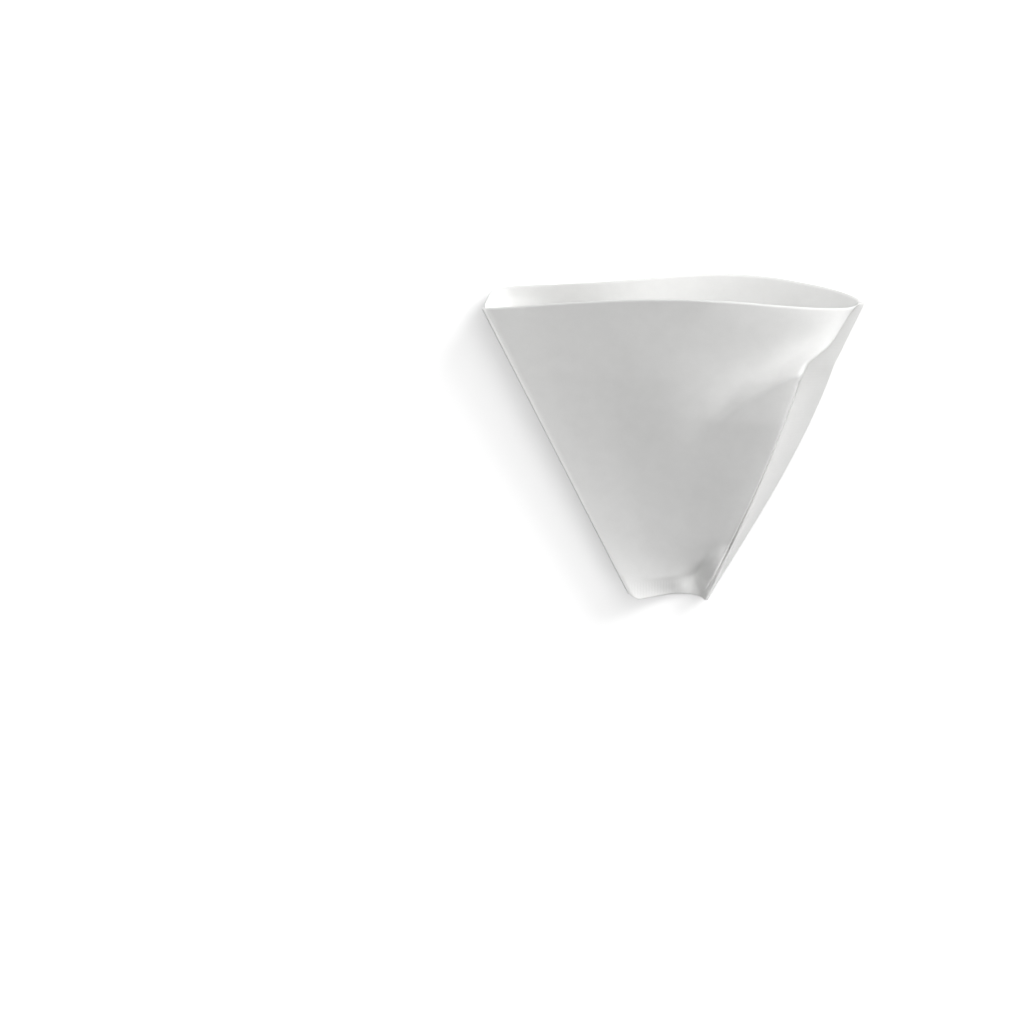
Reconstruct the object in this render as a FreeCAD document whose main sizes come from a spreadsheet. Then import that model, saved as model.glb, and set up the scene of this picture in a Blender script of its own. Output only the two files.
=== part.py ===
import FreeCAD, Part
import math
import os

# A paper coffee filter: one sheet folded at its left edge and closed by two pressed seams, one along the
# right edge and one across the foot. It lies on its back with the mouth along +Y, as it comes to rest.
# The form is worked out flat first: X runs to the right, Y from the foot to the mouth, Z out of the front.

os.makedirs("parts", exist_ok=True)
doc = FreeCAD.newDocument("coffee_filter")
V = FreeCAD.Vector

DIMENSIONS = [
    ("wall", 0.25, "thickness of the paper"),
    ("foot_left", 15.7, "left of the middle, where the line of the folded edge meets the foot"),
    ("edge_slope", 0.48, "how far each slanted edge leans out for each millimetre of height"),
    ("foot_right", 17.0, "right of the middle, where the line of the seam's cut edge meets the foot"),
    ("corner_height", 115.0, "height of the two corners of the mouth above the foot"),
    ("rim_rise", 9.0, "how much higher the middle of the arched rim is cut than its corners"),
    ("crease_depth", 2.0, "strip along the folded edge where both walls are pinched together"),
    ("foot_seam", 7.0, "height of the pressed seam across the foot"),
    ("foot_slack", 0.5, "how far below the top of the foot seam the two walls begin to part"),
    ("corner_cut", 2.4, "length taken off the foot by the small cut across its folded corner"),
    ("corner_cut_angle", 37.0, "slope of that cut, in degrees"),
    ("seam_width", 10.2, "width of the pressed side seam"),
    ("seam_open_width", 2.6, "width that is left of the side seam at the mouth, where it has peeled open"),
    ("knee_height", 91.0, "height at which the side seam begins to peel open"),
    ("seam_turn", 78.0, "how far the side seam is folded back at the foot, in degrees"),
    ("groove_foot", 12.6, "right of the middle, where the groove beside the side seam meets the foot"),
    ("groove_bow", 2.0, "how far the groove bows away from a straight line"),
    ("groove_stand", 1.0, "how far the groove stands in front of the folded edge"),
    ("front_bulge", 34.0, "how far the lower part of the front wall would stand out if it ran on to the mouth"),
    ("mouth_bulge", 29.8, "how far the front wall stands out at the mouth"),
    ("rear_lobe", 15.5, "how far the two lobes of the rear wall stand out at the mouth"),
    ("gutter_depth", 10.5, "how far the foot is pushed back"),
    ("gutter_height", 60.0, "height at which the gutter in the foot has run out"),
    ("rim_dip_front", 0.30, "how much lower the rim is cut at its left end for each millimetre of depth, in front"),
    ("rim_lift_rear", 0.21, "how much higher it is cut near both ends for each millimetre of depth, behind"),
    ("rim_room", 16.0, "how far the sheet is drawn past the rim before it is cut"),
]

sheet = doc.addObject("Spreadsheet::Sheet", "driving_dimensions")
for row, (alias, value, meaning) in enumerate(DIMENSIONS, start=1):
    sheet.set("A%d" % row, meaning)
    sheet.set("B%d" % row, str(value))
    sheet.setAlias("B%d" % row, alias)
doc.recompute()
size = {alias: float(sheet.get(alias)) for alias, _, _ in DIMENSIONS}

wall = size["wall"]
corner_height = size["corner_height"]
knee_height = size["knee_height"]
foot_seam = size["foot_seam"]
top = corner_height + size["rim_rise"] + size["rim_room"]

# Sections of the front wall, as shares of the way across it and of its depth: round beside the groove in
# the lower half, blunt further up, and leaning back to the corner at the mouth.
FRONT_LOW = [(0.0, 0.0), (0.1, 0.08), (0.2, 0.18), (0.3, 0.29), (0.4, 0.42), (0.5, 0.545), (0.6, 0.66),
             (0.7, 0.775), (0.8, 0.89), (0.87, 0.965), (0.92, 1.0), (0.95, 0.97), (0.975, 0.82),
             (0.99, 0.52), (1.0, 0.0)]
FRONT_BLUNT = [(0.0, 0.0), (0.1, 0.08), (0.2, 0.18), (0.3, 0.29), (0.4, 0.42), (0.5, 0.54), (0.6, 0.65),
               (0.7, 0.765), (0.8, 0.875), (0.88, 0.95), (0.94, 0.995), (0.965, 1.0), (0.98, 0.95),
               (0.992, 0.7), (1.0, 0.0)]
FRONT_MOUTH = [(0.0, 0.0), (0.06, 0.097), (0.12, 0.188), (0.23, 0.383), (0.34, 0.577), (0.455, 0.772),
               (0.566, 0.919), (0.65, 0.993), (0.72, 1.0), (0.79, 0.933), (0.86, 0.792), (0.92, 0.604),
               (0.96, 0.409), (0.985, 0.221), (1.0, 0.0)]
# How the lower part of the front wall grows, as shares of the way from the foot seam to the corners.
FRONT_RISE = [(0.0, 0.0), (0.005, 0.014), (0.05, 0.07), (0.217, 0.324), (0.54, 0.618), (0.7235, 0.765),
              (1.12, 1.0)]
# The bent line above which the front wall leans back, as shares of the height of the knee.
BEND = [(0.0, 0.637), (0.5, 0.637), (0.62, 0.725), (0.71, 0.813), (0.79, 0.908), (0.866, 0.978),
        (0.91, 1.027), (0.95, 1.049), (1.0, 1.044)]
# Sections of the gutter in the foot: at the cut edge, where the corner is pinched, and above it.
GUTTER_EDGE = [(0.0, 0.0), (0.2, 0.36), (0.4, 0.8), (0.55, 1.0), (0.65, 0.95), (0.75, 0.72), (0.85, 0.39),
               (0.92, 0.16), (0.97, 0.03), (1.0, 0.0)]
GUTTER_PINCH = [(0.0, 0.0), (0.2, 0.24), (0.4, 0.5), (0.6, 0.75), (0.72, 0.93), (0.78, 1.0), (0.82, 0.9),
                (0.9, 0.5), (0.95, 0.17), (0.985, 0.0), (1.0, 0.0)]
GUTTER_ABOVE = [(0.0, 0.0), (0.2, 0.2), (0.4, 0.42), (0.6, 0.66), (0.8, 0.92), (0.88, 1.0), (0.94, 0.6),
                (0.985, 0.0), (1.0, 0.0)]
# How far across it is deepest at the cut edge.
GUTTER_CREST = 0.57
# Shares of the way across the rear wall.
LEFT_LOBE_CREST = 0.08
LEFT_LOBE_END = 0.5
RIGHT_LOBE_CREST = 0.74
RIGHT_LOBE_START = 0.2
SPLINE_POINTS = 13


def crease_x(y):
    """The folded edge."""
    return -size["foot_left"] - size["edge_slope"] * y


def cut_edge_x(y):
    """The cut edge of the side seam, where the seam lies flat."""
    return size["foot_right"] + size["edge_slope"] * y


def knee_x():
    return cut_edge_x(knee_height) - size["seam_width"]


def groove_x(y):
    """The groove where the front wall meets the side seam: bowed up to the knee, then straight to the corner."""
    if y <= knee_height:
        share = y / knee_height
        straight = size["groove_foot"] + (knee_x() - size["groove_foot"]) * share
        return straight + 4 * size["groove_bow"] * share * (1 - share)
    share = (y - knee_height) / (corner_height - knee_height)
    corner = cut_edge_x(corner_height) - size["seam_open_width"]
    return knee_x() + (corner - knee_x()) * share


def seam_angle(y):
    """The side seam is folded back at the foot and lies flat above the knee."""
    share = min(y / knee_height, 1.0)
    return math.radians(size["seam_turn"]) * (1 - share ** 1.2)


def seam_width(y):
    if y <= knee_height:
        return size["seam_width"]
    return max(cut_edge_x(y) - groove_x(y), wall)


def through(stations, at):
    """A smooth line through (place, height) stations."""
    if at <= stations[0][0]:
        return stations[0][1]
    if at >= stations[-1][0]:
        return stations[-1][1]
    last = len(stations) - 1
    slopes = []
    for index in range(last + 1):
        before, after = stations[max(index - 1, 0)], stations[min(index + 1, last)]
        slopes.append((after[1] - before[1]) / (after[0] - before[0]))
    index = sum(1 for place, _ in stations if place < at) - 1
    (start, low), (end, high) = stations[index], stations[index + 1]
    span = end - start
    t = (at - start) / span
    return (low * (1 + 2 * t) * (1 - t) ** 2 + slopes[index] * span * t * (1 - t) ** 2
            + high * t * t * (3 - 2 * t) - slopes[index + 1] * span * t * t * (1 - t))


def eased(low, high, at):
    """From 0 to 1 between two heights."""
    share = min(max((at - low) / (high - low), 0.0), 1.0)
    return share * share * (3 - 2 * share)


def up_share(y):
    """The walls are together in the foot seam and part towards the mouth."""
    start = foot_seam - size["foot_slack"]
    return max((y - start) / (corner_height - start), 0.0)


def gutter(across, y):
    """How far the foot is pushed back."""
    if y >= size["gutter_height"]:
        return 0.0
    fade = math.cos(math.pi / 2 * y / size["gutter_height"]) ** 2
    edge, pinch, above = [through(stations, across) for stations in (GUTTER_EDGE, GUTTER_PINCH, GUTTER_ABOVE)]
    section = edge + (pinch - edge) * eased(0, 1.3 * foot_seam, y)
    section += (above - section) * eased(1.3 * foot_seam, 3 * foot_seam, y)
    return size["gutter_depth"] * fade * section


def lobe(across, start, crest, end, rise, fall):
    """A rounded hump from start to end, one high at its crest."""
    if across <= start or across >= end:
        return 0.0
    if across < crest:
        return math.sin(math.pi / 2 * (across - start) / (crest - start)) ** rise
    return math.cos(math.pi / 2 * (across - crest) / (end - crest)) ** fall


def lower_front(across, y):
    blunt = eased(knee_height / 2, knee_height * 0.82, y)
    section = through(FRONT_LOW, across) * (1 - blunt) + through(FRONT_BLUNT, across) * blunt
    return size["front_bulge"] * through(FRONT_RISE, up_share(y)) * section


def front_depth(across, y):
    bend = knee_height * through(BEND, across)
    if y <= bend:
        return lower_front(across, y)
    brim = corner_height + size["rim_rise"] * (1 - (2 * across - 1) ** 2)
    share = min((y - bend) / (brim - bend), 1.0) ** (1.7 - 0.7 * eased(0.55, 0.78, across))
    lean = size["mouth_bulge"] * through(FRONT_MOUTH, across) - lower_front(across, brim)
    return lower_front(across, y) + lean * share


def rear_depth(across, y):
    """Two lobes at the mouth, which run together into one further down."""
    mouth = max((y - size["gutter_height"]) / (corner_height - size["gutter_height"]), 0.0)
    blend = min(mouth, 1.0)
    left = lobe(across, 0.0, LEFT_LOBE_CREST, LEFT_LOBE_END, 0.5, 2.5)
    right = lobe(across, RIGHT_LOBE_START, RIGHT_LOBE_CREST, 1.0, 2.0, 1.0)
    single = lobe(across, 0.0, RIGHT_LOBE_CREST, 1.0, 0.8, 1.0)
    hump = blend * (left + right) + (1 - blend) * single
    return -size["rear_lobe"] * up_share(y) ** 0.65 * hump


def wall_points(depth, y):
    """Points across the inner face of one wall, from the folded edge to the groove, closer near both ends."""
    left = crease_x(y) + size["crease_depth"]
    right = groove_x(y)
    points = []
    for step in range(1, SPLINE_POINTS):
        across = (1 - math.cos(math.pi * step / SPLINE_POINTS)) / 2
        depth_here = depth(across, y) + across * size["groove_stand"] - gutter(across, y)
        points.append(V(left + across * (right - left), y, depth_here))
    return points


def seam_direction(y):
    angle = seam_angle(y)
    return V(math.cos(angle), 0, -math.sin(angle))


def seam_front(y):
    """The way from the middle of the side seam to its front face."""
    angle = seam_angle(y)
    return V(math.sin(angle), 0, math.cos(angle))


def spline(points):
    curve = Part.BSplineCurve()
    curve.interpolate(points)
    return curve.toShape()


def line(start, end):
    return Part.LineSegment(start, end).toShape()


def moved_out(points, turn):
    """The points between the first and the last one, moved out by the thickness of the wall."""
    outer = []
    for index in range(1, len(points) - 1):
        along = points[index + 1] - points[index - 1]
        along.normalize()
        outer.append(points[index] + V(-along.z, 0, along.x) * wall * turn)
    return outer


def outer_wire(y):
    """The outline of the folded sheet at one height, in eight edges."""
    tip = V(crease_x(y), y, 0)
    root = tip + V(size["crease_depth"], 0, 0)
    groove = V(groove_x(y), y, size["groove_stand"])
    cut_edge = groove + seam_direction(y) * seam_width(y)
    out = V(0, 0, wall)
    aside = seam_front(y) * wall
    front = moved_out([root] + wall_points(front_depth, y) + [groove], 1)
    rear = moved_out([root] + wall_points(rear_depth, y) + [groove], -1)
    edges = [
        line(tip + out, root + out),
        spline([root + out] + front + [groove + aside]),
        line(groove + aside, cut_edge + aside),
        line(cut_edge + aside, cut_edge - aside),
        line(cut_edge - aside, groove - aside),
        spline([groove - aside] + rear[::-1] + [root - out]),
        line(root - out, tip - out),
        line(tip - out, tip + out),
    ]
    return Part.Wire(edges)


def inner_wire(y):
    """The outline of the hollow at one height, in four edges: the two walls and a narrow end at each side."""
    left = V(crease_x(y) + size["crease_depth"] + wall, y, 0)
    right = V(groove_x(y) - wall, y, size["groove_stand"])
    narrow = V(0, 0, wall / 4)
    edges = [
        spline([left + narrow] + wall_points(front_depth, y) + [right + narrow]),
        line(right + narrow, right - narrow),
        spline([right - narrow] + wall_points(rear_depth, y)[::-1] + [left - narrow]),
        line(left - narrow, left + narrow),
    ]
    return Part.Wire(edges)


def heights(start, end, count):
    return [start + (end - start) * step / count for step in range(count + 1)]


def rim_y(x, z):
    """Height of the cut rim. It is an arc in the flat sheet, so it runs higher where a wall stands out."""
    middle = (size["foot_right"] - size["foot_left"]) / 2
    half = (cut_edge_x(corner_height) - crease_x(corner_height)) / 2
    share = min(abs(x - middle) / half, 1.2)
    lift = -size["rim_lift_rear"] * z * share ** 4
    if z > 0:
        lift = -size["rim_dip_front"] * z * share if x < middle else 0.0
    return corner_height + size["rim_rise"] * (1 - share ** 2) + lift


def rim_profile(z):
    """A closed outline at one depth, whose lower edge is the cut line of the rim."""
    reach = cut_edge_x(top) + size["rim_room"]
    points = [V(reach * step / 8, rim_y(reach * step / 8, z), z) for step in range(-8, 9)]
    high = top + size["rim_rise"] + size["rim_room"]
    start, end = points[0], points[-1]
    edges = [
        spline(points),
        line(end, V(end.x, high, z)),
        line(V(end.x, high, z), V(start.x, high, z)),
        line(V(start.x, high, z), start),
    ]
    return Part.Wire(edges)


def rim_point(across):
    """The point of the rear wall's rim at one share of the way across."""
    y = corner_height
    for _ in range(10):
        left = crease_x(y) + size["crease_depth"]
        x = left + across * (groove_x(y) - left)
        z = rear_depth(across, y) + across * size["groove_stand"] - wall
        y = rim_y(x, z)
    return V(x, y, z)


def add_shape(name, shape):
    feature = doc.addObject("Part::Feature", name)
    feature.Shape = shape
    return feature


bands = [heights(foot_seam, knee_height, 6), heights(knee_height, top, 4)]
outer_bands = [Part.makeLoft([outer_wire(y) for y in (0.0, foot_seam)], True, True)]
outer_bands += [Part.makeLoft([outer_wire(y) for y in band], True, False) for band in bands]
inner_bands = [Part.makeLoft([inner_wire(y) for y in band], True, False) for band in bands]
outside = add_shape("outside", outer_bands[0].fuse(outer_bands[1:]))
inside = add_shape("inside", inner_bands[0].fuse(inner_bands[1:]))

hollow = doc.addObject("Part::Cut", "hollow")
hollow.Base = outside
hollow.Tool = inside

deep = size["front_bulge"] + size["rear_lobe"] + size["rim_room"]
above_rim = add_shape("above_rim", Part.makeLoft([rim_profile(z) for z in (-deep, 0.0, deep)], True, True))
cut_rim = doc.addObject("Part::Cut", "cut_rim")
cut_rim.Base = hollow
cut_rim.Tool = above_rim

corner = doc.addObject("Part::Box", "corner")
corner.setExpression("Length", "driving_dimensions.corner_cut * 4")
corner.setExpression("Width", "driving_dimensions.corner_cut * 2")
corner.setExpression("Height", "driving_dimensions.gutter_depth * 2")
turn = FreeCAD.Rotation(V(0, 0, 1), -size["corner_cut_angle"])
cut_end = V(crease_x(0) + size["corner_cut"], 0, -size["gutter_depth"])
back = turn.multVec(V(-3, -2, 0)) * size["corner_cut"]
corner.Placement = FreeCAD.Placement(cut_end + back, turn)

left_foot = rim_point(LEFT_LOBE_CREST)
right_foot = rim_point(RIGHT_LOBE_CREST)
front_foot = V(0, 0, size["groove_stand"] * GUTTER_CREST - size["gutter_depth"] - wall)
front_foot.x = crease_x(0) + size["crease_depth"] + GUTTER_CREST * (groove_x(0) - crease_x(0) - size["crease_depth"])
floor_up = (right_foot - front_foot).cross(left_foot - front_foot)

filter_paper = doc.addObject("Part::Cut", "filter_paper")
filter_paper.Label = "filter_paper"
filter_paper.Base = cut_rim
filter_paper.Tool = corner
doc.recompute()
lying = FreeCAD.Placement(V(0, 0, 0), FreeCAD.Rotation(floor_up, V(0, 0, 1)))
box = Part.Compound(filter_paper.Shape.Edges).transformed(lying.toMatrix()).optimalBoundingBox(True, False)
lying.Base = V(-(box.XMin + box.XMax) / 2, -(box.YMin + box.YMax) / 2, -box.ZMin)
filter_paper.Placement = lying
doc.recompute()

for item in doc.Objects:
    if "Invalid" in item.State or "Error" in item.State:
        raise RuntimeError("failed: " + item.Name)
if filter_paper.Shape.isNull() or not filter_paper.Shape.isValid():
    raise RuntimeError("filter_paper is not a valid shape")
if len(filter_paper.Shape.Solids) != 1:
    raise RuntimeError("filter_paper is not one solid")

filter_paper.Shape.exportStep("parts/filter_paper.step")
print("filter_paper", round(filter_paper.Shape.Volume, 1), lying)
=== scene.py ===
import bpy
import bmesh
import math
from mathutils import Euler, Matrix, Vector, noise


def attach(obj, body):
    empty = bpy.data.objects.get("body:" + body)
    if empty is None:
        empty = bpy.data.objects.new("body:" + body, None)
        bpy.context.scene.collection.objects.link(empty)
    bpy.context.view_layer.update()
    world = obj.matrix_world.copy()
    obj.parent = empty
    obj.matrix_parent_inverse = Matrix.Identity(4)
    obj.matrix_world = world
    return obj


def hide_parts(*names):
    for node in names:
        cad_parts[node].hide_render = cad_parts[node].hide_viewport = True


# A paper coffee filter that lies on its back on a pale floor. The form is worked out flat, in millimetres:
# x to the right, y from the foot to the mouth, z out of the front. It is then laid down and made metres.
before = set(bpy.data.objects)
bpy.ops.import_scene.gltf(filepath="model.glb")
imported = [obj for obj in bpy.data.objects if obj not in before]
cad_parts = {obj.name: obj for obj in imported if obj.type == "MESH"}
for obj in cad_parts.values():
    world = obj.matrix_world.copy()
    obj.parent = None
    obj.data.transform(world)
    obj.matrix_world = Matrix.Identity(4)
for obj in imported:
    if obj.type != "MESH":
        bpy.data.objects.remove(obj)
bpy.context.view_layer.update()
MM = 0.001

# The sheet and its cut lines
WALL = 0.25
FOOT_LEFT = 15.7
FOOT_RIGHT = 17.0
EDGE_SLOPE = 0.48
CORNER_HEIGHT = 115.0
RIM_RISE = 9.0
RIM_LIFT_FRONT = ((0.0, -0.2), (0.04, -0.9), (0.15, -1.8), (0.3, -1.8), (0.45, -0.9), (0.55, -0.2), (0.65, -0.05),
                  (0.75, -0.35), (0.87, -0.55), (0.96, -0.2), (1.0, 0.0))
RIM_LIFT_REAR = ((0.0, -0.2), (0.014, 1.1), (0.03, 2.3), (0.05, 2.2), (0.08, 1.7), (0.13, 0.8), (0.2, 0.0),
                 (0.5, 0.0), (0.82, 0.1), (0.93, 1.1), (0.99, 1.0), (1.0, 0.2))
CORNER_CUT = 2.4
CORNER_CUT_ANGLE = 37.0

# The fold and the two pressed seams
CREASE_DEPTH = 1.2
FOOT_SEAM = 7.0
FOOT_SLACK = 0.5
SEAM_WIDTH = 10.2
SEAM_OPEN_WIDTH = 2.6
SEAM_TURN = 78.0
KNEE_HEIGHT = 91.0
GROOVE_FOOT = 12.6
GROOVE_BOW = 2.0
GROOVE_STAND = 1.0
GROOVE_PRESS = 1.7

# How far the rear wall stands out, and where its two lobes begin
REAR_LOBE = 15.5
LOBE_START = 60.0

# The gutter in the foot: its depth, the height at which it has run out, and the heights at which its
# section has become the pinched one and then the one above it
GUTTER_DEPTH = 8.4
GUTTER_HEIGHT = 75.0
GUTTER_PINCHED = 9.1
GUTTER_OPENED = 24.0

# The pinched valley beside the groove: its distance from the groove, its depth at the foot and further up,
# and its reach on the side of the groove and on the other side
VALLEY_BESIDE = 8.0
VALLEY_FOOT = 2.8
VALLEY_ABOVE = 0.5
VALLEY_NEAR = 2.5
VALLEY_FAR = 4.2

# The drop of the front wall into the groove: where it ends and begins beside the groove, how far it leans
# for each millimetre of drop, and the notch that it has above the knee
DROP_BOTTOM = 1.3
DROP_EDGE = 1.9
DROP_LEAN = 0.126
DROP_LEAN_LOST = 0.095
NOTCH_HEIGHT = 97.0
NOTCH_WIDTH = 2.4
NOTCH_REACH = 4.0

# The dent above the bent line: its depth, and the shares of the way across at which it begins and is full
DENT_DEPTH = 22.0
DENT_START = 0.55
DENT_FULL = 0.78

# The camera, in millimetres and degrees
CAMERA_TILT = 16
CAMERA_ROLL = -0.8
CAMERA_BACK = 2000
CAMERA_LEFT = 161 * 0.38
CAMERA_UP = 87.4 * 0.38
CAMERA_LENS = 185.03

# Columns of the sheet on each side of the fold, and its rows
FOLD_COLUMNS = 2
CREASE_COLUMNS = 4
WALL_COLUMNS = 108
SEAM_COLUMNS = 18
SIDE_COLUMNS = FOLD_COLUMNS + CREASE_COLUMNS + WALL_COLUMNS + SEAM_COLUMNS
ROWS = 164


# Lines of the flat form

def crease_x(y):
    return -FOOT_LEFT - EDGE_SLOPE * y


def cut_edge_x(y):
    return FOOT_RIGHT + EDGE_SLOPE * y


def groove_x(y):
    knee = cut_edge_x(KNEE_HEIGHT) - SEAM_WIDTH
    if y <= KNEE_HEIGHT:
        share = y / KNEE_HEIGHT
        return GROOVE_FOOT + (knee - GROOVE_FOOT) * share + 4 * GROOVE_BOW * share * (1 - share)
    share = (y - KNEE_HEIGHT) / (CORNER_HEIGHT - KNEE_HEIGHT)
    return knee + (cut_edge_x(CORNER_HEIGHT) - SEAM_OPEN_WIDTH - knee) * share


def seam_angle(y):
    return math.radians(SEAM_TURN) * (1 - min(y / KNEE_HEIGHT, 1.0) ** 1.2)


def seam_width(y):
    return SEAM_WIDTH if y <= KNEE_HEIGHT else max(cut_edge_x(y) - groove_x(y), WALL)


def rim_y(x):
    """The rim is cut in an arc."""
    middle = (FOOT_RIGHT - FOOT_LEFT) / 2
    half = (cut_edge_x(CORNER_HEIGHT) - crease_x(CORNER_HEIGHT)) / 2
    return CORNER_HEIGHT + RIM_RISE * (1 - ((x - middle) / half) ** 2)


def through(stations, at):
    """A smooth line through the given (place, height) stations."""
    if at <= stations[0][0]:
        return stations[0][1]
    if at >= stations[-1][0]:
        return stations[-1][1]
    slopes = []
    for index in range(len(stations)):
        before = stations[max(index - 1, 0)]
        after = stations[min(index + 1, len(stations) - 1)]
        slopes.append((after[1] - before[1]) / (after[0] - before[0]))
    for index in range(len(stations) - 1):
        (start, low), (end, high) = stations[index], stations[index + 1]
        if at <= end:
            span = end - start
            t = (at - start) / span
            return (low * (1 + 2 * t) * (1 - t) ** 2 + slopes[index] * span * t * (1 - t) ** 2
                    + high * t * t * (3 - 2 * t) - slopes[index + 1] * span * t * t * (1 - t))


# Depth of the walls

def smooth_step(low, high, at):
    share = min(max((at - low) / (high - low), 0.0), 1.0)
    return share * share * (3 - 2 * share)


def lobe(across, start, crest, end, rise, fall):
    if across <= start or across >= end:
        return 0.0
    if across < crest:
        return math.sin(math.pi / 2 * (across - start) / (crest - start)) ** rise
    return math.cos(math.pi / 2 * (across - crest) / (end - crest)) ** fall


def bulge_share(y, power):
    start = FOOT_SEAM - FOOT_SLACK
    return max((y - start) / (CORNER_HEIGHT - start), 0.0) ** power


# Sections of the gutter, as shares of its depth: at the cut edge, where it is pinched, and above that
GUTTER_EDGE = ((0.0, 0.0), (0.2, 0.36), (0.4, 0.8), (0.55, 1.0), (0.68, 0.97), (0.78, 0.78), (0.87, 0.44),
               (0.94, 0.14), (0.98, 0.02), (1.0, 0.0))
GUTTER_PINCH = ((0.0, 0.0), (0.2, 0.22), (0.4, 0.46), (0.56, 0.67), (0.66, 0.83), (0.75, 0.96), (0.81, 0.95),
                (0.88, 0.66), (0.94, 0.26), (0.98, 0.04), (1.0, 0.0))
GUTTER_ABOVE = ((0.0, 0.0), (0.2, 0.2), (0.4, 0.42), (0.6, 0.64), (0.8, 0.86), (0.88, 0.94), (0.93, 0.97),
                (0.955, 0.9), (0.98, 0.45), (1.0, 0.0))


def gutter(across, y):
    """How far the foot is pushed back."""
    if y >= GUTTER_HEIGHT:
        return 0.0
    fade = 1 - y / GUTTER_HEIGHT
    edge = through(GUTTER_EDGE, across)
    pinch = through(GUTTER_PINCH, across)
    above = through(GUTTER_ABOVE, across)
    section = edge + (pinch - edge) * smooth_step(0.0, GUTTER_PINCHED, y)
    section += (above - section) * smooth_step(GUTTER_PINCHED, GUTTER_OPENED, y)
    return GUTTER_DEPTH * fade * section


# Depth of the front wall at the mouth. Its sections in the lower half and further up are shares of the
# depth that FRONT_RISE gives for each height.
FRONT_MOUTH = ((0.0, 0.0), (0.06, 2.9), (0.12, 5.6), (0.23, 11.4), (0.34, 17.2), (0.455, 23.0), (0.566, 27.4),
               (0.65, 28.2), (0.72, 27.5), (0.79, 25.0), (0.86, 21.0), (0.92, 16.3), (0.96, 12.2),
               (0.985, 6.6), (1.0, 0.0))
FRONT_LOW = ((0.0, 0.0), (0.1, 0.08), (0.2, 0.18), (0.3, 0.29), (0.4, 0.43), (0.5, 0.57), (0.6, 0.70),
             (0.7, 0.83), (0.78, 0.92), (0.84, 0.972), (0.89, 0.99), (0.93, 0.975), (0.96, 0.94), (1.0, 0.88))
FRONT_BLUNT = ((0.0, 0.0), (0.1, 0.08), (0.2, 0.18), (0.3, 0.29), (0.4, 0.42), (0.5, 0.54), (0.6, 0.65),
               (0.7, 0.78), (0.8, 0.89), (0.87, 0.955), (0.92, 0.98), (0.955, 0.97), (1.0, 0.92))
BLUNT_FROM = 45.0
BLUNT_TO = 75.0
FRONT_RISE = ((6.5, 0.0), (7.5, 0.4), (12.0, 2.2), (30.0, 9.4), (65.0, 20.8), (85.0, 26.0), (128.0, 34.0))


# Height of the bent line that runs from the knee of the seam down and across the front wall
BEND = ((0.0, 58.0), (0.5, 58.0), (0.62, 66.0), (0.71, 74.0), (0.79, 82.6), (0.866, 89.0), (0.91, 93.5),
        (0.95, 95.5), (1.0, 95.0))


def beside_groove(across, y):
    """How far a point of the front wall is from the groove."""
    return (1 - across) * (groove_x(y) - crease_x(y) - CREASE_DEPTH)


def wall_edge(y):
    """How far from the groove's line the front wall begins to drop into it."""
    stand = through(FRONT_RISE, y) - GUTTER_DEPTH * max(1 - y / GUTTER_HEIGHT, 0.0)
    lean = DROP_LEAN - DROP_LEAN_LOST * smooth_step(97.0, 106.0, y)
    notch = NOTCH_WIDTH * math.exp(-((y - NOTCH_HEIGHT) / NOTCH_REACH) ** 2)
    return DROP_EDGE + lean * max(stand, 0.0) + notch


def front_section(across, y):
    """Sloping up from the fold, then dropping round into the groove."""
    blunt = smooth_step(BLUNT_FROM, BLUNT_TO, y)
    section = through(FRONT_LOW, across) * (1 - blunt) + through(FRONT_BLUNT, across) * blunt
    return section * smooth_step(DROP_BOTTOM, wall_edge(y), beside_groove(across, y))


def pinch_depth(across, y):
    """The pinched valley that runs up beside the groove from the corner of the foot."""
    beside = beside_groove(across, y)
    valley = VALLEY_BESIDE * smooth_step(-3.0, 8.0, y)
    shallower = smooth_step(7.0, 16.0, y)
    depth = VALLEY_FOOT * (1 - shallower) + VALLEY_ABOVE * (shallower - smooth_step(16.0, 30.0, y))
    reach = VALLEY_NEAR if beside < valley else VALLEY_FAR
    return depth * math.exp(-((beside - valley) / reach) ** 2) * smooth_step(0.0, 1.5, beside)


def groove_press(across, y):
    """How deep the groove is pressed into the wall."""
    beside = beside_groove(across, y)
    fade = smooth_step(1.0, 9.0, y) * (1 - smooth_step(KNEE_HEIGHT - 3.0, KNEE_HEIGHT + 6.0, y))
    bottom = smooth_step(0.0, DROP_BOTTOM, beside) * (1 - smooth_step(DROP_BOTTOM, wall_edge(y), beside))
    return GROOVE_PRESS * fade * bottom


def front_depth(across, y):
    """The front wall rises evenly to the bent line, then leans back to its depth at the mouth."""
    low = through(FRONT_RISE, y) * front_section(across, y)
    bend = through(BEND, across)
    if y <= bend:
        return low
    brim = CORNER_HEIGHT + RIM_RISE * (1 - (2 * across - 1) ** 2)
    share = (y - bend) / (brim - bend)
    leans = smooth_step(DENT_START, DENT_FULL, across)
    power = 1.7 - 0.7 * leans
    dent = DENT_DEPTH * share * max(1 - share, 0.0) ** 2 * leans * (1 - smooth_step(0.9, 1.0, across))
    back = through(FRONT_MOUTH, across) - through(FRONT_RISE, brim) * front_section(across, brim)
    return low + back * share ** power - dent


def rear_depth(across, y):
    blend = min(max((y - LOBE_START) / (CORNER_HEIGHT - LOBE_START), 0.0), 1.0)
    left = lobe(across, 0.0, 0.08, 0.5, 0.5, 2.5)
    right = lobe(across, 0.2, 0.74, 1.0, 2.0, 1.0)
    single = lobe(across, 0.0, 0.74, 1.0, 0.8, 1.0)
    return -REAR_LOBE * bulge_share(y, 0.65) * (blend * (left + right) + (1 - blend) * single)


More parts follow.
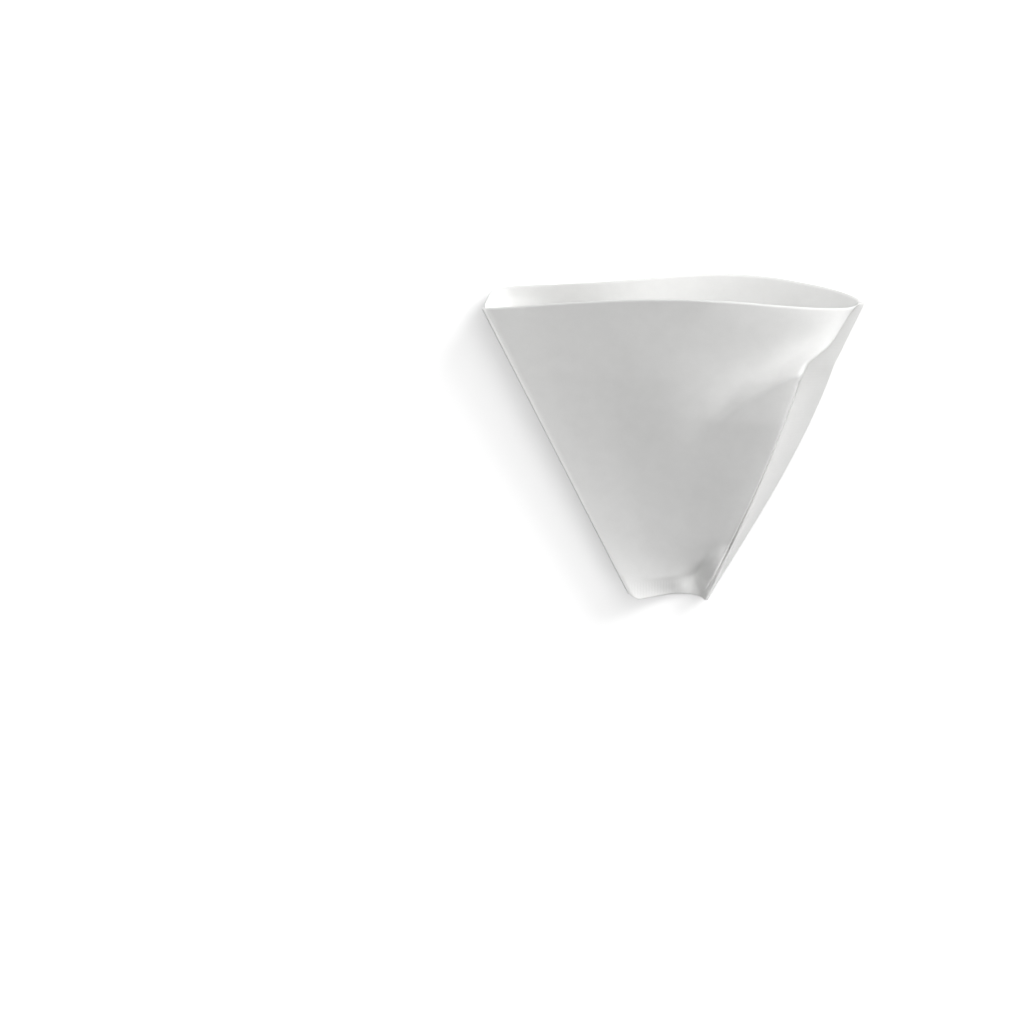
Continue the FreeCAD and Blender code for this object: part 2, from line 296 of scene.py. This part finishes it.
def hand_wave(x, y, side):
    """The faint waves of a sheet that has been handled."""
    wave = noise.noise(Vector((x / 26.0, y / 30.0, 7.3 * side)))
    ripple = noise.noise(Vector((x / 9.0, y / 14.0, 3.1 + side)))
    return 0.45 * wave + 0.10 * ripple


def wall_point(side, across, y):
    """A point on the inner face of a wall, side +1 in front and -1 behind."""
    left = crease_x(y) + CREASE_DEPTH
    x = left + across * (groove_x(y) - left)
    z = front_depth(across, y) if side > 0 else rear_depth(across, y)
    free = 4 * across * (1 - across) * min(max(y - FOOT_SEAM, 0.0) / 30.0, 1.0)
    z += hand_wave(x, y, side) * free
    z += across * GROOVE_STAND - gutter(across, y)
    pressed = groove_press(across, y)
    if side < 0:
        pressed *= 1 - smooth_step(12.0, 30.0, y)
    z -= pinch_depth(across, y) + pressed
    return Vector((x, y, z))


def wall_outer_point(side, across, y):
    """The outer face: one wall thickness out, square to the section."""
    step = 0.004
    before = wall_point(side, max(across - step, 0.0), y)
    after = wall_point(side, min(across + step, 1.0), y)
    along = (after - before).normalized()
    out = Vector((-along.z, 0, along.x)) * side
    return wall_point(side, across, y) + out * WALL


def seam_point(side, share, y):
    """The side seam, both walls pressed together."""
    angle = seam_angle(y)
    along = Vector((math.cos(angle), 0, -math.sin(angle)))
    front = Vector((math.sin(angle), 0, math.cos(angle)))
    groove = Vector((groove_x(y), y, GROOVE_STAND))
    return groove + along * share * seam_width(y) + front * WALL * side


def crease_point(side, step, y):
    """The fold: a tight round turn, then a pinched strip."""
    if step <= FOLD_COLUMNS:
        turn = math.pi / 2 * step / FOLD_COLUMNS
        x = WALL - WALL * math.cos(turn)
        return Vector((crease_x(y) + x, y, WALL * math.sin(turn) * side))
    share = (step - FOLD_COLUMNS) / CREASE_COLUMNS
    return Vector((crease_x(y) + WALL + share * (CREASE_DEPTH - WALL), y, WALL * side))


def across_of(column):
    """The share of the way across its wall at which a column runs, closer together near the groove."""
    share = (abs(column) - FOLD_COLUMNS - CREASE_COLUMNS) / WALL_COLUMNS
    share = min(max(share, 0.0), 1.0)
    if column > 0:
        return 1 - (1 - share) ** 1.8
    return 0.5 * share + 0.25 * (1 - math.cos(math.pi * share))


def outer_point(column, y):
    side = 1 if column >= 0 else -1
    step = abs(column)
    if step <= FOLD_COLUMNS + CREASE_COLUMNS:
        return crease_point(side, step, y)
    step -= FOLD_COLUMNS + CREASE_COLUMNS
    if step <= WALL_COLUMNS:
        return wall_outer_point(side, across_of(column), y)
    return seam_point(side, (step - WALL_COLUMNS) / SEAM_COLUMNS, y)


def rim_height(column):
    """Where the column meets the cut rim."""
    lift = through(RIM_LIFT_FRONT if column > 0 else RIM_LIFT_REAR, across_of(column))
    y = CORNER_HEIGHT
    for _ in range(12):
        y = 0.5 * y + 0.5 * (rim_y(outer_point(column, y).x) + lift)
    return y


def foot_height(column):
    """The foot is cut straight, with a small cut across its folded corner."""
    slope = math.tan(math.radians(CORNER_CUT_ANGLE))
    y = 0.0
    for _ in range(12):
        x = outer_point(column, y).x
        y = max((crease_x(0) + CORNER_CUT - x) * slope, 0.0) * 0.5 + 0.5 * y
    return y


def make_sheet():
    """One closed sheet, folded along its middle column and pressed together at both cut sides."""
    bm = bmesh.new()
    bmesh.ops.create_grid(bm, x_segments=2 * SIDE_COLUMNS, y_segments=ROWS, size=1.0)
    side_seam = bm.verts.layers.float.new("side_seam")
    foot_seam = bm.verts.layers.float.new("foot_seam")
    columns = {}
    for column in range(-SIDE_COLUMNS, SIDE_COLUMNS + 1):
        columns[column] = (foot_height(column), rim_height(column))
    for vert in bm.verts:
        column = round(vert.co.x * SIDE_COLUMNS)
        foot, rim = columns[column]
        share = (vert.co.y + 1) / 2
        share = 0.75 * share + 0.25 * share ** 2
        y = foot + (rim - foot) * share
        vert.co = outer_point(column, y)
        vert[side_seam] = smooth_step(0.0, 2.0, abs(column) + SEAM_COLUMNS - SIDE_COLUMNS)
        vert[foot_seam] = (1 - smooth_step(FOOT_SEAM - 1.0, FOOT_SEAM, y)) * (1 - vert[side_seam])
    bmesh.ops.recalc_face_normals(bm, faces=bm.faces)
    return bm


def pressed_ribs(nodes, links, where, direction, seam):
    """Fine ribs across a pressed seam, where the sheet's attribute marks that seam."""
    ribs = nodes.new("ShaderNodeTexWave")
    ribs.bands_direction = direction
    ribs.inputs["Scale"].default_value = 285.0
    links.new(where.outputs["Object"], ribs.inputs["Vector"])
    mark = nodes.new("ShaderNodeAttribute")
    mark.attribute_name = seam
    held = nodes.new("ShaderNodeMath")
    held.operation = "MULTIPLY"
    links.new(ribs.outputs["Fac"], held.inputs[0])
    links.new(mark.outputs["Fac"], held.inputs[1])
    return held


def make_paper():
    """Off-white filter paper: a cloudy look-through, a faint crepe grain and ribs on the pressed seams."""
    paper = bpy.data.materials.new("white_filter_paper")
    paper.use_nodes = True
    nodes = paper.node_tree.nodes
    links = paper.node_tree.links
    nodes.clear()
    out = nodes.new("ShaderNodeOutputMaterial")
    shader = nodes.new("ShaderNodeBsdfPrincipled")
    links.new(shader.outputs["BSDF"], out.inputs["Surface"])
    shader.inputs["Roughness"].default_value = 0.85
    shader.inputs["Specular IOR Level"].default_value = 0.25
    shader.inputs["Subsurface Weight"].default_value = 0.5
    shader.inputs["Subsurface Radius"].default_value = (1.0, 1.0, 1.0)
    shader.inputs["Subsurface Scale"].default_value = 0.0004
    where = nodes.new("ShaderNodeTexCoord")
    cloud = nodes.new("ShaderNodeTexNoise")
    cloud.inputs["Scale"].default_value = 180.0
    cloud.inputs["Detail"].default_value = 4.0
    cloud.inputs["Roughness"].default_value = 0.6
    links.new(where.outputs["Object"], cloud.inputs["Vector"])
    tone = nodes.new("ShaderNodeValToRGB")
    tone.color_ramp.elements[0].position = 0.3
    tone.color_ramp.elements[0].color = (0.852, 0.852, 0.842, 1)
    tone.color_ramp.elements[1].position = 0.7
    tone.color_ramp.elements[1].color = (0.878, 0.878, 0.868, 1)
    links.new(cloud.outputs["Fac"], tone.inputs["Fac"])
    links.new(tone.outputs["Color"], shader.inputs["Base Color"])
    fibre = nodes.new("ShaderNodeTexNoise")
    fibre.inputs["Scale"].default_value = 1400.0
    fibre.inputs["Detail"].default_value = 3.0
    stretch = nodes.new("ShaderNodeMapping")
    stretch.inputs["Scale"].default_value = (0.45, 1.0, 0.7)
    links.new(where.outputs["Object"], stretch.inputs["Vector"])
    links.new(stretch.outputs["Vector"], fibre.inputs["Vector"])
    bump = nodes.new("ShaderNodeBump")
    bump.inputs["Strength"].default_value = 0.35
    bump.inputs["Distance"].default_value = 0.00008
    links.new(fibre.outputs["Fac"], bump.inputs["Height"])
    side = pressed_ribs(nodes, links, where, "Y", "side_seam")
    foot = pressed_ribs(nodes, links, where, "X", "foot_seam")
    both = nodes.new("ShaderNodeMath")
    links.new(side.outputs["Value"], both.inputs[0])
    links.new(foot.outputs["Value"], both.inputs[1])
    crimp = nodes.new("ShaderNodeBump")
    crimp.inputs["Strength"].default_value = 0.3
    crimp.inputs["Distance"].default_value = 0.00004
    links.new(both.outputs["Value"], crimp.inputs["Height"])
    links.new(bump.outputs["Normal"], crimp.inputs["Normal"])
    links.new(crimp.outputs["Normal"], shader.inputs["Normal"])
    return paper


def make_floor():
    floor_mesh = bmesh.new()
    bmesh.ops.create_grid(floor_mesh, x_segments=1, y_segments=1, size=3.0)
    mesh = bpy.data.meshes.new("floor")
    floor_mesh.to_mesh(mesh)
    floor_mesh.free()
    floor = bpy.data.objects.new("floor", mesh)
    bpy.context.scene.collection.objects.link(floor)
    white = bpy.data.materials.new("white_table")
    white.use_nodes = True
    nodes = white.node_tree.nodes
    links = white.node_tree.links
    table = nodes["Principled BSDF"]
    table.inputs["Base Color"].default_value = (0.88, 0.88, 0.88, 1)
    table.inputs["Roughness"].default_value = 0.9
    seen = nodes.new("ShaderNodeLightPath")
    glow = nodes.new("ShaderNodeMath")
    glow.operation = "MULTIPLY"
    glow.inputs[1].default_value = 0.34
    links.new(seen.outputs["Is Camera Ray"], glow.inputs[0])
    table.inputs["Emission Color"].default_value = (1, 1, 1, 1)
    links.new(glow.outputs["Value"], table.inputs["Emission Strength"])
    mesh.materials.append(white)


def soft_lamp(name, towards, strength, spread):
    """A far soft lamp. A strength of 1 lights a surface that faces it to its own colour."""
    lamp = bpy.data.lights.new(name, "SUN")
    lamp.energy = math.pi * strength
    lamp.angle = math.radians(spread)
    obj = bpy.data.objects.new(name, lamp)
    obj.location = Vector(towards)
    obj.rotation_euler = (-Vector(towards)).to_track_quat("-Z", "Y").to_euler()
    bpy.context.scene.collection.objects.link(obj)


def place_camera():
    """The camera stands 2 m off, tilted towards the mouth from square to the flat form."""
    up_tilt = math.radians(CAMERA_TILT)
    roll = math.radians(CAMERA_ROLL)
    back = Vector((0, math.sin(up_tilt), math.cos(up_tilt)))
    up = (Vector((0, 1, 0)) - back * back.y).normalized()
    right = up.cross(back)
    right, up = (right * math.cos(roll) + up * math.sin(roll), up * math.cos(roll) - right * math.sin(roll))
    place = CAMERA_BACK * back - CAMERA_LEFT * right + CAMERA_UP * up
    camera = bpy.data.cameras.new("camera")
    camera.lens = CAMERA_LENS
    camera.sensor_width = 36
    camera.clip_end = 20
    eye = bpy.data.objects.new("camera", camera)
    bpy.context.scene.collection.objects.link(eye)
    axes = Matrix((right, up, back)).transposed().to_4x4()
    stand = LAID @ Matrix.Translation(place) @ axes
    eye.matrix_world = Matrix.Translation(stand.translation * MM) @ stand.to_3x3().to_4x4()
    bpy.context.scene.camera = eye


LAID = Matrix.Translation((-0.652383, -62.1268, 10.4825)) @ Euler(
    (math.radians(2.6609), math.radians(0.323577), math.radians(0.00751506))).to_matrix().to_4x4()

sheet = make_sheet()
bmesh.ops.transform(sheet, matrix=Matrix.Scale(MM, 4) @ LAID, verts=sheet.verts)
mesh = bpy.data.meshes.new("paper_sheet")
sheet.to_mesh(mesh)
sheet.free()
filter_sheet = bpy.data.objects.new("paper_sheet", mesh)
bpy.context.scene.collection.objects.link(filter_sheet)
for face in mesh.polygons:
    face.use_smooth = True
solid = filter_sheet.modifiers.new("paper_thickness", "SOLIDIFY")
solid.thickness = (WALL - 0.01) * MM
solid.offset = -1.0
solid.use_even_offset = False
solid.use_rim = True
mesh.materials.append(make_paper())
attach(filter_sheet, "root")
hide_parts("filter_paper")

make_floor()
soft_lamp("key", (0.64, 0.66, 0.38), 0.66, 32)
soft_lamp("front", (0.27, 0.47, 0.84), 0.34, 45)
soft_lamp("left", (-0.51, 0.20, 0.84), 0.21, 45)
soft_lamp("low_right", (0.57, -0.43, 0.70), 0.22, 45)

world = bpy.data.worlds.new("studio")
world.use_nodes = True
world.node_tree.nodes["Background"].inputs["Color"].default_value = (1, 1, 1, 1)
world.node_tree.nodes["Background"].inputs["Strength"].default_value = 0.02
bpy.context.scene.world = world

place_camera()
bpy.context.scene.view_settings.view_transform = "Standard"
